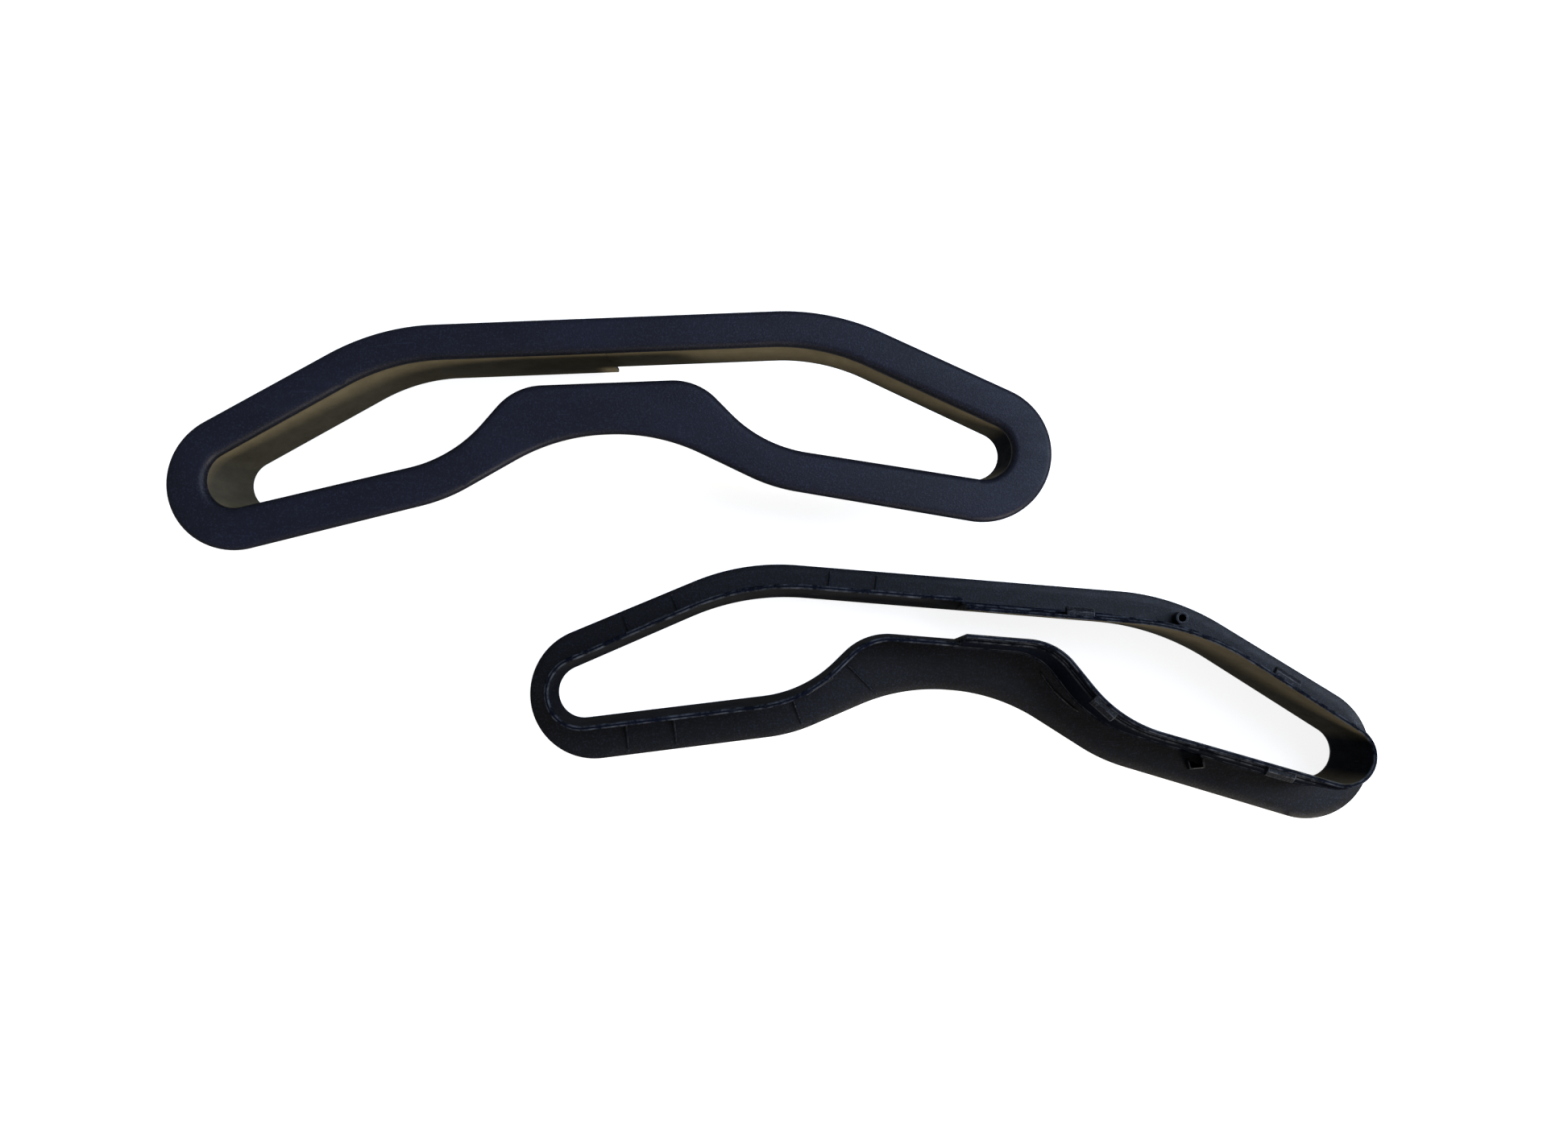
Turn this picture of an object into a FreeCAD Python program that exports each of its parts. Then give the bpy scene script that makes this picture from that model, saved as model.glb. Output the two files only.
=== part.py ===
import FreeCAD, Part
import math
import os

# Snap-together trim bezel for a long two-lobed opening through a padded panel.
# It is a pair of mouldings. Each has a slim rounded trim flange round the opening
# and a sleeve that stands off the flange's back. The sleeve is deep over one half
# of the loop and shallow over the other, so the deep half of each bezel meets the
# shallow half of the other inside the panel, where snap blocks hold the pair.
#
# Frame: +Z up, +X along the openings, origin at the middle of the pair's footprint
# on the surface that it lies on. The front bezel stands face up on the tip of its
# deep sleeve. The rear bezel lies face down beside it. Millimetres and degrees.
#
# A bezel is modelled face up, with the flange's back at Z = 0, the sleeve below it
# and the deep half at x < 0. place() then puts it in the frame.

V = FreeCAD.Vector
UP = V(0, 0, 1)

# ---- Outlines. Each describes the half loop at x > 0, the other half mirrors it.
# top: height of the flat top edge          slope: fall of the shoulder line
# end, end_r: centre and radius of the end  arm: rise of the lower arm to the middle
# flank, foot: slope of the hump's side and a point on it
# crest: height of the hump's flat          shoulder_r, hip_r, crest_r: roundings
OUTER = dict(top=17.8, slope=27.3, end=(135.0, -37.3), end_r=25.0, arm=11.9,
             flank=27.9, foot=(29.4, -31.2), crest=-25.2,
             shoulder_r=85.0, hip_r=64.0, crest_r=70.0)
FRONT_HOLE = dict(top=4.8, slope=27.5, end=(135.4, -36.5), end_r=10.4, arm=11.2,
                  flank=47.8, foot=(38.7, -12.2), crest=-6.2,
                  shoulder_r=76.0, hip_r=48.6, crest_r=22.0)
REAR_HOLE = dict(top=5.4, slope=28.2, end=(135.5, -37.1), end_r=9.6, arm=11.6,
                 flank=49.0, foot=(39.3, -11.6), crest=-5.6,
                 shoulder_r=90.0, hip_r=46.5, crest_r=23.3)
# The rear opening is longer over its shallow half, to pass the front's deep half.
REAR_HOLE_SHALLOW = dict(REAR_HOLE, end=(139.1, -37.1), end_r=9.9)
# The deep sleeve narrows to these outlines at its tip. The front one also leans
# towards the top edge.
REAR_TIP = dict(top=3.7, slope=28.5, end=(135.0, -36.3), end_r=9.7, arm=11.4,
                flank=46.8, foot=(38.0, -10.5), crest=-4.5,
                shoulder_r=85.0, hip_r=46.6, crest_r=22.3)
FRONT_TIP = dict(REAR_TIP, top=6.4, slope=27.5, end=(134.9, -33.5), end_r=9.5,
                 foot=(38.0, -8.2), crest=-2.1, shoulder_r=65.0)
# The shallow sleeve ends in these outlines at its rim. The rear one spreads, to take
# in the front bezel's lip.
FRONT_RIM = dict(FRONT_HOLE, top=4.7, slope=27.9, end=(135.1, -35.0), end_r=8.9,
                 shoulder_r=71.0)
REAR_RIM = dict(REAR_HOLE, top=7.6, end=(136.9, -37.1), end_r=12.1, foot=(38.1, -12.6),
                crest=-7.2, shoulder_r=92.0, hip_r=48.5, crest_r=22.0)

# ---- Sections
FACE = 3.2              # thickness of the trim flange, back to face
OUTER_ROUND = 2.2       # rounding of the face at its outer edge
INNER_ROUND = 2.6       # rounding of the face at the opening
WALL = 2.8              # deep sleeve wall, below its lip
DEEP = 35.0             # deep sleeve, flange back to tip
LIP = 1.5               # thickness of the lip at the tip
LIP_HEIGHT = 6.0        # height of the lip
SHALLOW = 20.0          # shallow sleeve, flange back to rim
SHALLOW_WALL = 1.8      # shallow sleeve wall

# ---- Snap blocks on the lip and catches on the shallow sleeve. Each station is an
# x on the deep half and the side of the loop: +1 the top edge, -1 the lower edge.
STATIONS = [(40.0, 1), (113.0, 1), (52.0, -1), (114.0, -1)]
BLOCK_LENGTH = 10.0
BLOCK_OUT = 3.1         # how far a block stands out from the lip
BLOCK_HEIGHT = 3.4
BLOCK_TIP_GAP = 0.8     # from the block to the tip of the lip
BLOCK_RAMP = 1.6        # lead-in ramp on the block's outer edge
CATCH_LENGTH = 12.0
CATCH_GAP = 1.3         # slot between the catch bar and the sleeve
CATCH_BAR = 1.0         # thickness of the catch bar and of its end webs
CATCH_HEIGHT = 2.4
CATCH_DEPTH = 7.0       # from the flange back to the far edge of the bar

# ---- Small features on the flange's back
GUSSET_SPACING = 18.0   # a pair of gussets frames each catch
GUSSET = 0.5            # gusset thickness
GUSSET_TALL = 1.6       # gusset height at the sleeve
GUSSET_LOW = 0.5        # gusset height near the flange's outer edge
EDGE_MARGIN = 1.5       # gussets stop this far inside the outer edge
BOSS_AT = (-85.0, 9.2)
BOSS_R, BOSS_BORE_R, BOSS_HEIGHT = 2.4, 1.4, 5.0
POCKET_AT = (-94.0, -45.1)
POCKET_SIZE, POCKET_WALL, POCKET_HEIGHT = (6.0, 3.6), 0.8, 3.0
RIDGE_POINTS = [(-33.8, -15.6), (-40.6, -23.4), (-49.2, -29.4)]
RIDGE, RIDGE_HEIGHT = 1.2, 1.0

# ---- Where the two bezels lie
FRONT_CENTRE, FRONT_TURN = (-65.0, 46.5), 2.1
REAR_CENTRE, REAR_TURN = (65.0, -46.4), -4.7


def direction(degrees):
    """Unit vector in the plan at this angle from +X."""
    return V(math.cos(math.radians(degrees)), math.sin(math.radians(degrees)), 0)


def crossing(first, second):
    """Point where two lines meet; a line is (unit normal, distance from the origin)."""
    (n1, d1), (n2, d2) = first, second
    spread = n1.x * n2.y - n1.y * n2.x
    return V((d1 * n2.y - d2 * n1.y) / spread, (n1.x * d2 - n2.x * d1) / spread, 0)


def corner_arc(before, corner, after, radius):
    """Three points of the arc that rounds a corner between two straight runs."""
    back = (before - corner).normalize()
    on = (after - corner).normalize()
    half_angle = back.getAngle(on) / 2
    reach = radius / math.tan(half_angle)
    centre = corner + (back + on).normalize() * (radius / math.sin(half_angle))
    middle = centre + (corner - centre).normalize() * radius
    return [corner + back * reach, middle, corner + on * reach]


def half_runs(shape, grow=0.0):
    """Right half of an outline, clockwise from the top, moved outwards by grow.

    It is a list of point lists: two points are a straight run, three are an arc."""
    end = V(*shape["end"], 0)
    end_r = shape["end_r"] + grow
    slope_normal = direction(90 - shape["slope"])
    arm_normal = direction(-90 - shape["arm"])
    flank_normal = direction(-90 - shape["flank"])
    top = (V(0, 1, 0), shape["top"] + grow)
    slope = (slope_normal, slope_normal.dot(end) + end_r)
    arm = (arm_normal, arm_normal.dot(end) + end_r)
    flank = (flank_normal, flank_normal.dot(V(*shape["foot"], 0)) + grow)
    crest = (V(0, -1, 0), grow - shape["crest"])
    start = V(0, shape["top"] + grow, 0)
    finish = V(0, shape["crest"] - grow, 0)
    end_start = end + slope_normal * end_r
    end_finish = end + arm_normal * end_r
    end_middle = end + (slope_normal + arm_normal).normalize() * end_r
    shoulder = corner_arc(start, crossing(top, slope), end_start, shape["shoulder_r"] + grow)
    hip_corner, crest_corner = crossing(arm, flank), crossing(flank, crest)
    hip = corner_arc(end_finish, hip_corner, crest_corner, shape["hip_r"] + grow)
    hump = corner_arc(hip_corner, crest_corner, finish, shape["crest_r"] - grow)
    return [[start, shoulder[0]], shoulder, [shoulder[2], end_start],
            [end_start, end_middle, end_finish],
            [end_finish, hip[0]], hip, [hip[2], hump[0]], hump, [hump[2], finish]]


def mirrored(runs):
    """The left half that continues a right half, from the bottom up to the top."""
    return [[V(-p.x, p.y, p.z) for p in reversed(run)] for run in reversed(runs)]


def edges(runs, z):
    """Edges of runs at height z."""
    made = []
    for run in runs:
        points = [V(p.x, p.y, z) for p in run]
        if len(points) == 2:
            made.append(Part.LineSegment(*points).toShape())
        else:
            made.append(Part.Arc(*points).toShape())
    return made


def loop(deep, shallow, z, grow=0.0):
    """Closed outline: the shallow half at x > 0, then the deep half at x < 0."""
    runs = half_runs(shallow, grow) + mirrored(half_runs(deep, grow))
    return Part.Wire(edges(runs, z))


def band(shape, deep_side, z, inner, outer):
    """Closed outline of half a wall, between two offsets of one outline."""
    inside, outside = half_runs(shape, inner), half_runs(shape, outer)
    if deep_side:
        inside, outside = mirrored(inside), mirrored(outside)
    back = [list(reversed(run)) for run in reversed(outside)]
    runs = inside + [[inside[-1][-1], back[0][0]]] + back + [[back[-1][-1], inside[0][0]]]
    return Part.Wire(edges(runs, z))


def wall(sections):
    """Solid through two closed outlines, with ruled sides."""
    return Part.makeLoft(sections, True, True)


def station(shape, x, side):
    """Placement on an outline at x: local X along the wall, local Y outwards."""
    runs = half_runs(shape) if x > 0 else mirrored(half_runs(shape))
    reach = 60.0
    middle = -20.0 if abs(x) > 60 else -1.0
    line = Part.makeLine(V(x, middle, 0), V(x, middle + side * reach, 0))
    point = Part.Wire(edges(runs, 0)).distToShape(line)[1][0][0]
    ahead = Part.makeLine(V(x + 0.5, middle, 0), V(x + 0.5, middle + side * reach, 0))
    next_point = Part.Wire(edges(runs, 0)).distToShape(ahead)[1][0][0]
    along = (next_point - point).normalize()
    outward = V(-along.y, along.x, 0) * side
    turn = math.degrees(math.atan2(outward.y, outward.x)) - 90
    return FreeCAD.Placement(point, FreeCAD.Rotation(UP, turn))


def prism(section, length):
    """Solid of a (y, z) section, centred on x = 0 and this long along X."""
    points = [V(-length / 2, y, z) for y, z in section]
    return Part.Face(Part.makePolygon(points + points[:1])).extrude(V(length, 0, 0))


def moved(solid, placement):
    copy = solid.copy()
    copy.Placement = placement.multiply(copy.Placement)
    return copy


def top_rim(solid, height):
    """Edges of a solid that lie wholly at this height."""
    return [e for e in solid.Edges
            if abs(e.BoundBox.ZMin - height) < 1e-4 and abs(e.BoundBox.ZMax - height) < 1e-4]


def trim_flange(hole, hole_shallow):
    """Flat ring with a rounded outer edge and a rounded edge at the opening."""
    plate = Part.Face(loop(OUTER, OUTER, 0)).extrude(V(0, 0, FACE))
    plate = plate.makeFillet(OUTER_ROUND, top_rim(plate, FACE))
    tool = Part.Face(loop(hole, hole_shallow, -1)).extrude(V(0, 0, FACE + 2))
    ring = plate.cut(tool)
    opening = [e for e in top_rim(ring, FACE) if inside_flange(e)]
    return ring.makeFillet(INNER_ROUND, opening)


def inside_flange(edge):
    """True for an edge of the opening, which is nearer the middle than the outer edge."""
    middle = edge.valueAt((edge.FirstParameter + edge.LastParameter) / 2)
    boundary = loop(OUTER, OUTER, middle.z, -OUTER_ROUND)
    return boundary.distToShape(Part.Vertex(middle))[0] > 1.0


def deep_sleeve(hole, tip):
    """Half sleeve at x < 0, from the flange's back down to the foot of the lip."""
    foot = LIP_HEIGHT - DEEP
    return wall([band(hole, True, 0, 0, WALL), band(tip, True, foot, 0, WALL)])


def tip_lip(tip):
    """Thin lip on the deep sleeve's tip, flush with its inner face."""
    return wall([band(tip, True, LIP_HEIGHT - DEEP, 0, LIP), band(tip, True, -DEEP, 0, LIP)])


def shallow_sleeve(hole, rim):
    """Half sleeve at x > 0, from the flange's back down to its rim."""
    return wall([band(hole, False, 0, 0, SHALLOW_WALL),
                 band(rim, False, -SHALLOW, 0, SHALLOW_WALL)])


def snap_blocks(tip, lip):
    """Ramped blocks on the outside of the lip."""
    low = BLOCK_TIP_GAP - DEEP
    high = low + BLOCK_HEIGHT
    out = LIP + BLOCK_OUT
    section = [(0, low), (out - BLOCK_RAMP, low), (out, low + BLOCK_RAMP), (out, high), (0, high)]
    block = prism(section, BLOCK_LENGTH)
    made = [moved(block, station(tip, -x, side)).cut(lip) for x, side in STATIONS]
    return Part.makeCompound([outermost(shape) for shape in made])


def catches(hole, sleeve):
    """Bars that bridge a slot beside the shallow sleeve, one for each block."""
    bottom, top = -CATCH_DEPTH, CATCH_HEIGHT - CATCH_DEPTH
    out = SHALLOW_WALL + CATCH_GAP + CATCH_BAR
    height = top - bottom
    outer = Part.makeBox(CATCH_LENGTH, out, height, V(-CATCH_LENGTH / 2, 0, bottom))
    slot = Part.makeBox(CATCH_LENGTH - 2 * CATCH_BAR, SHALLOW_WALL + CATCH_GAP, height + 2,
                        V(CATCH_BAR - CATCH_LENGTH / 2, 0, bottom - 1))
    bridge = outer.cut(slot)
    made = [moved(bridge, station(hole, x, side)).cut(sleeve) for x, side in STATIONS]
    return Part.makeCompound([outermost(shape) for shape in made])


def gussets(hole, sleeve):
    """Thin tapering ribs from the shallow sleeve across the flange's back."""
    limit = Part.Face(loop(OUTER, OUTER, 0, -EDGE_MARGIN)).extrude(V(0, 0, -GUSSET_TALL))
    reach = 24.0
    made = []
    for x, side in STATIONS:
        for step in (-GUSSET_SPACING / 2, GUSSET_SPACING / 2):
            slab = Part.makeBox(GUSSET, reach, GUSSET_TALL, V(-GUSSET / 2, 0.5, -GUSSET_TALL))
            rib = moved(slab, station(hole, x + step, side)).common(limit).cut(sleeve)
            made.append(tapered(outermost(rib), station(hole, x + step, side)))
    return Part.makeCompound(made)


def tapered(rib, placement):
    """A rib with its far edge sloped from tall at the sleeve to low at the outside."""
    length = 13.0
    start = SHALLOW_WALL + 0.8
    section = [(start, -GUSSET_TALL - 1), (length * 2, -GUSSET_TALL - 1),
               (length * 2, -GUSSET_LOW), (length, -GUSSET_LOW), (start, -GUSSET_TALL)]
    return outermost(rib.cut(moved(prism(section, 2.0), placement)))


def outermost(shape):
    """The piece furthest from the opening, where a wall cuts a feature in two."""
    return max(shape.Solids, key=lambda solid: solid.Volume)


def locating_boss():
    """Hollow round boss that stands on the flange's back."""
    at = V(*BOSS_AT, -BOSS_HEIGHT)
    return Part.makeCylinder(BOSS_R, BOSS_HEIGHT, at).cut(
        Part.makeCylinder(BOSS_BORE_R, BOSS_HEIGHT, at))


def latch_pocket(sleeve):
    """Open rectangular pocket on the flange's back, closed on one side by the sleeve."""
    length, width = POCKET_SIZE
    outer = Part.makeBox(length, width, POCKET_HEIGHT,
                         V(-length / 2, -width / 2, -POCKET_HEIGHT))
    inner = Part.makeBox(length - 2 * POCKET_WALL, width, POCKET_HEIGHT,
                         V(POCKET_WALL - length / 2, POCKET_WALL - width / 2, -POCKET_HEIGHT))
    turn = FreeCAD.Rotation(UP, -OUTER["arm"])
    return moved(outer.cut(inner), FreeCAD.Placement(V(*POCKET_AT, 0), turn)).cut(sleeve)


def grip_ridge():
    """Low curved ridge on the flange's back, beside the hump."""
    start, middle, end = [V(x, y, 0) for x, y in RIDGE_POINTS]
    curve = Part.Arc(start, middle, end).toShape().Curve
    sides = []
    for grow in (-RIDGE / 2, RIDGE / 2):
        scale = (curve.Radius + grow) / curve.Radius
        sides.append([curve.Center + (p - curve.Center) * scale for p in (start, middle, end)])
    inner, outer = sides
    runs = [inner, [inner[-1], outer[-1]], outer[::-1], [outer[0], inner[0]]]
    return Part.Face(Part.Wire(edges(runs, 0))).extrude(V(0, 0, -RIDGE_HEIGHT))


def bezel(hole, hole_shallow, tip, rim):
    """All pieces of one bezel, face up, by name."""
    lip = tip_lip(tip)
    deep = deep_sleeve(hole, tip)
    shallow = shallow_sleeve(hole_shallow, rim)
    return {
        "trim_flange": trim_flange(hole, hole_shallow),
        "deep_sleeve": deep,
        "tip_lip": lip,
        "snap_blocks": snap_blocks(tip, lip),
        "shallow_sleeve": shallow,
        "catch_bars": catches(hole_shallow, shallow),
        "gussets": gussets(hole_shallow, shallow),
        "locating_boss": locating_boss(),
        "latch_pocket": latch_pocket(deep),
        "grip_ridge": grip_ridge(),
    }


def place(centre, turn, height, face_down):
    """Placement of a bezel on the floor."""
    flip = FreeCAD.Rotation(V(0, 1, 0), 180 if face_down else 0)
    return FreeCAD.Placement(V(*centre, height), FreeCAD.Rotation(UP, turn).multiply(flip))


def main():
    os.makedirs("parts", exist_ok=True)
    pair = {}
    front = place(FRONT_CENTRE, FRONT_TURN, DEEP, False)
    rear = place(REAR_CENTRE, REAR_TURN, FACE, True)
    for name, shape in bezel(FRONT_HOLE, FRONT_HOLE, FRONT_TIP, FRONT_RIM).items():
        pair["front_" + name] = moved(shape, front)
    for name, shape in bezel(REAR_HOLE, REAR_HOLE_SHALLOW, REAR_TIP, REAR_RIM).items():
        pair["rear_" + name] = moved(shape, rear)
    footprint = [moved(loop(OUTER, OUTER, 0), placement) for placement in (front, rear)]
    box = Part.makeCompound(footprint).optimalBoundingBox(False, False)
    to_origin = V(-(box.XMin + box.XMax) / 2, -(box.YMin + box.YMax) / 2, 0)
    for name, shape in pair.items():
        shape.translate(to_origin)
        shape.exportStep("parts/" + name + ".step")
        print(name, "solids", len(shape.Solids), "valid", shape.isValid(),
              "volume", round(shape.Volume, 1))
    print("footprint", round(box.XLength, 2), "x", round(box.YLength, 2), "moved by", to_origin)


main()
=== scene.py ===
# %% [markdown]
# # A pair of snap-together trim bezels
#
# Each bezel is one plastic moulding: a slim rounded flange that frames a long opening with
# two lobes, and a wall that stands off its back. The wall is deep over one half of the loop
# and shallow over the other, so two bezels meet inside a padded panel and clip together.
# One bezel lies face up, and the other lies face down beside it.
#
# The solids come from the CAD model, which says where everything is. This lesson builds the
# surfaces that are seen, with their rounded edges and their finishes, around that model.

import math

import bmesh
import bpy
import numpy as np
from mathutils import Matrix, Vector


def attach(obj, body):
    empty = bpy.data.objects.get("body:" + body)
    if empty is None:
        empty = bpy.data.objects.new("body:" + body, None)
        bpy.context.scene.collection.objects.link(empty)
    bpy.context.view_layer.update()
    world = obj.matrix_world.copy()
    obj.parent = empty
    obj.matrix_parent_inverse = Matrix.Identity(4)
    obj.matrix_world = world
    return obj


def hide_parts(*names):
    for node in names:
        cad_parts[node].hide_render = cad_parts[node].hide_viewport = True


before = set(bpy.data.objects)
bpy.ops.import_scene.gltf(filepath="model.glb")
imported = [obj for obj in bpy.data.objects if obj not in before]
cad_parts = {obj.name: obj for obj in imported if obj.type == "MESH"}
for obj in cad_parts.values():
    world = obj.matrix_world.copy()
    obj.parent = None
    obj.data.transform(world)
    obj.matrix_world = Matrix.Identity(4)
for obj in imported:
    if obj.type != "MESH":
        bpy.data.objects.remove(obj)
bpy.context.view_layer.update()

# %% [markdown]
# ## The outlines
#
# Every edge of the bezel follows a loop made of straight runs and round corners. Half a loop
# is described by a few sizes, in millimetres and degrees, and the other half mirrors it. It
# could be drawn by hand as a curve, but a curve drawn by hand doesn't meet its neighbours.
# With the sizes named, the flange, the walls and the clips all follow the same lines.
#
# top and crest are the heights of the flat top and of the hump's flat. slope, arm and flank
# are the angles of the shoulder, the lower arm and the hump's side. end and end_r are the
# centre and radius of the round end, foot is a point on the hump's side, and the other radii
# round the shoulder, the hip and the hump. A hole is the opening, a tip is where the deep
# wall ends, and a rim is where the shallow wall ends.

# %% Sizes of the outlines
OUTER = dict(top=17.8, slope=27.3, end=(135.0, -37.3), end_r=25.0, arm=11.9, flank=27.9,
             foot=(29.4, -31.2), crest=-25.2, shoulder_r=85.0, hip_r=64.0, crest_r=70.0)
FRONT_HOLE = dict(top=4.8, slope=27.5, end=(135.4, -36.5), end_r=10.4, arm=11.2, flank=47.8,
                  foot=(38.7, -12.2), crest=-6.2, shoulder_r=76.0, hip_r=48.6, crest_r=22.0)
REAR_HOLE = dict(top=5.4, slope=28.2, end=(135.5, -37.1), end_r=9.6, arm=11.6, flank=49.0,
                 foot=(39.3, -11.6), crest=-5.6, shoulder_r=90.0, hip_r=46.5, crest_r=23.3)
REAR_HOLE_SHALLOW = dict(REAR_HOLE, end=(139.1, -37.1), end_r=9.9)
REAR_TIP = dict(top=3.7, slope=28.5, end=(135.0, -36.3), end_r=9.7, arm=11.4, flank=46.8,
                foot=(38.0, -10.5), crest=-4.5, shoulder_r=85.0, hip_r=46.6, crest_r=22.3)
FRONT_TIP = dict(REAR_TIP, top=6.4, slope=27.5, end=(134.9, -33.5), end_r=9.5,
                 foot=(38.0, -8.2), crest=-2.1, shoulder_r=65.0)
FRONT_RIM = dict(FRONT_HOLE, top=4.7, slope=27.9, end=(135.1, -35.0), end_r=8.9,
                 shoulder_r=71.0)
REAR_RIM = dict(REAR_HOLE, top=7.6, end=(136.9, -37.1), end_r=12.1, foot=(38.1, -12.6),
                crest=-7.2, shoulder_r=92.0, hip_r=48.5, crest_r=22.0)
FACE, OUTER_ROUND, INNER_ROUND, CROWN = 3.2, 2.2, 2.6, 0.12
DEEP, LIP_HEIGHT, WALL, LIP = 35.0, 6.0, 2.8, 1.5
SHALLOW, SHALLOW_WALL = 20.0, 1.8

# %% [markdown]
# ## Where the two bezels lie
#
# Each bezel is worked out face up, with the flange's back at z = 0 and the walls below it, and
# is then turned and moved to its place. The front one stands on the tip of its deep wall and
# the rear one lies on its face. painted_wall_light says how much painted light, a pale warm
# tone that stands in for light that the walls catch, lies on their inner side, for the deep
# wall and then for the shallow one: first where the wall runs along the loop's length, and
# second at its round end.

# %% Places of the two bezels
BEZELS = {
    "front": dict(centre=(-63.974, 73.008), turn=2.1, height=DEEP, face_down=False,
                  hole=FRONT_HOLE, hole_shallow=FRONT_HOLE, tip=FRONT_TIP, rim=FRONT_RIM,
                  painted_wall_light=((1.0, 0.6), (1.0, 0.0))),
    "rear": dict(centre=(66.026, -19.892), turn=-4.7, height=FACE, face_down=True,
                 hole=REAR_HOLE, hole_shallow=REAR_HOLE_SHALLOW, tip=REAR_TIP, rim=REAR_RIM,
                 painted_wall_light=((0.7, 0.0), (0.05, 0.0))),
}
print("bezels", list(BEZELS))

# %% [markdown]
# ## Points round an outline
#
# A wall or a flange needs not only the points of its outline, but also the direction outwards
# at each of them, so that a parallel line is a plain sum. Normals could be estimated from
# neighbouring points, but arcs and straight runs give them exactly.

# %% Half an outline as points and outward normals
STRAIGHT_STEPS = (10, 22, 26, 8, 8)
ARC_STEPS = (22, 48, 16, 20)


def unit(degrees):
    """Unit vectors at these angles from +X: (cos a, sin a)."""
    angle = np.radians(degrees)
    return np.stack([np.cos(angle), np.sin(angle)], -1)


def tangent_centre(first, second, radius):
    """Centre of the arc that touches two lines. A line is (normal angle, distance d), the
    points where normal . p = d, and the centre has normal . c = d - radius for both."""
    normals = np.array([unit(first[0]), unit(second[0])])
    return np.linalg.solve(normals, np.array([first[1], second[1]]) - radius)


def half_outline(shape):
    """Right half of an outline, clockwise from the top: (points, normals).

    Four arcs, p = centre + r * unit(angle), joined by straight runs. The hump's arc is hollow,
    so its r is negative. A parallel outline is then exactly p + distance * normal."""
    end = np.array(shape["end"])
    turn = [90.0, 90.0 - shape["slope"], -90.0 - shape["arm"], -90.0 - shape["flank"], -90.0]
    top = (turn[0], shape["top"])
    slope = (turn[1], unit(turn[1]) @ end + shape["end_r"])
    arm = (turn[2], unit(turn[2]) @ end + shape["end_r"])
    flank = (turn[3], unit(turn[3]) @ np.array(shape["foot"]))
    crest = (turn[4], -shape["crest"])
    arcs = [(tangent_centre(top, slope, shape["shoulder_r"]), shape["shoulder_r"]),
            (end, shape["end_r"]),
            (tangent_centre(arm, flank, shape["hip_r"]), shape["hip_r"]),
            (tangent_centre(flank, crest, -shape["crest_r"]), -shape["crest_r"])]
    at, points, normals = np.array([0.0, shape["top"]]), [], []
    for k, (centre, radius) in enumerate(arcs):
        angles = np.linspace(turn[k], turn[k + 1], ARC_STEPS[k])
        arc = centre + radius * unit(angles)
        along = np.linspace(0, 1, STRAIGHT_STEPS[k], endpoint=False)[:, None]
        points += [at + along * (arc[0] - at), arc]
        normals += [np.tile(unit(turn[k]), (len(along), 1)), unit(angles)]
        at = arc[-1]
    along = np.linspace(0, 1, STRAIGHT_STEPS[4] + 1)[1:, None]
    points.append(at + along * (np.array([0.0, shape["crest"]]) - at))
    normals.append(np.tile(unit(-90.0), (len(along), 1)))
    return np.concatenate(points), np.concatenate(normals)


def mirrored(half):
    """The left half of an outline, from the bottom up to the top: (-x, y), run backwards."""
    return tuple((part * [-1, 1])[::-1] for part in half)


def whole_outline(deep, shallow):
    """Closed loop: the shallow half at x > 0, then the deep half at x < 0."""
    right, left = half_outline(shallow), mirrored(half_outline(deep))
    return tuple(np.concatenate([a, b[1:-1]]) for a, b in zip(right, left))


print("points round one loop", len(whole_outline(OUTER, OUTER)[0]))

# %% [markdown]
# ## From a grid of points to a mesh
#
# A moulded edge is never sharp, and the light that runs along a rounded edge is what tells the
# eye that a thing is plastic. A Bevel modifier could round the CAD solids, but it pinches where
# the edges meet at odd angles. Here every piece is a section with rounded corners, carried along
# a path. The section gives one direction of a grid, and the path gives the other.

# %% Rounded sections
SHARP = 0.02
FLANK_SHARE = 0.45


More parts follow.
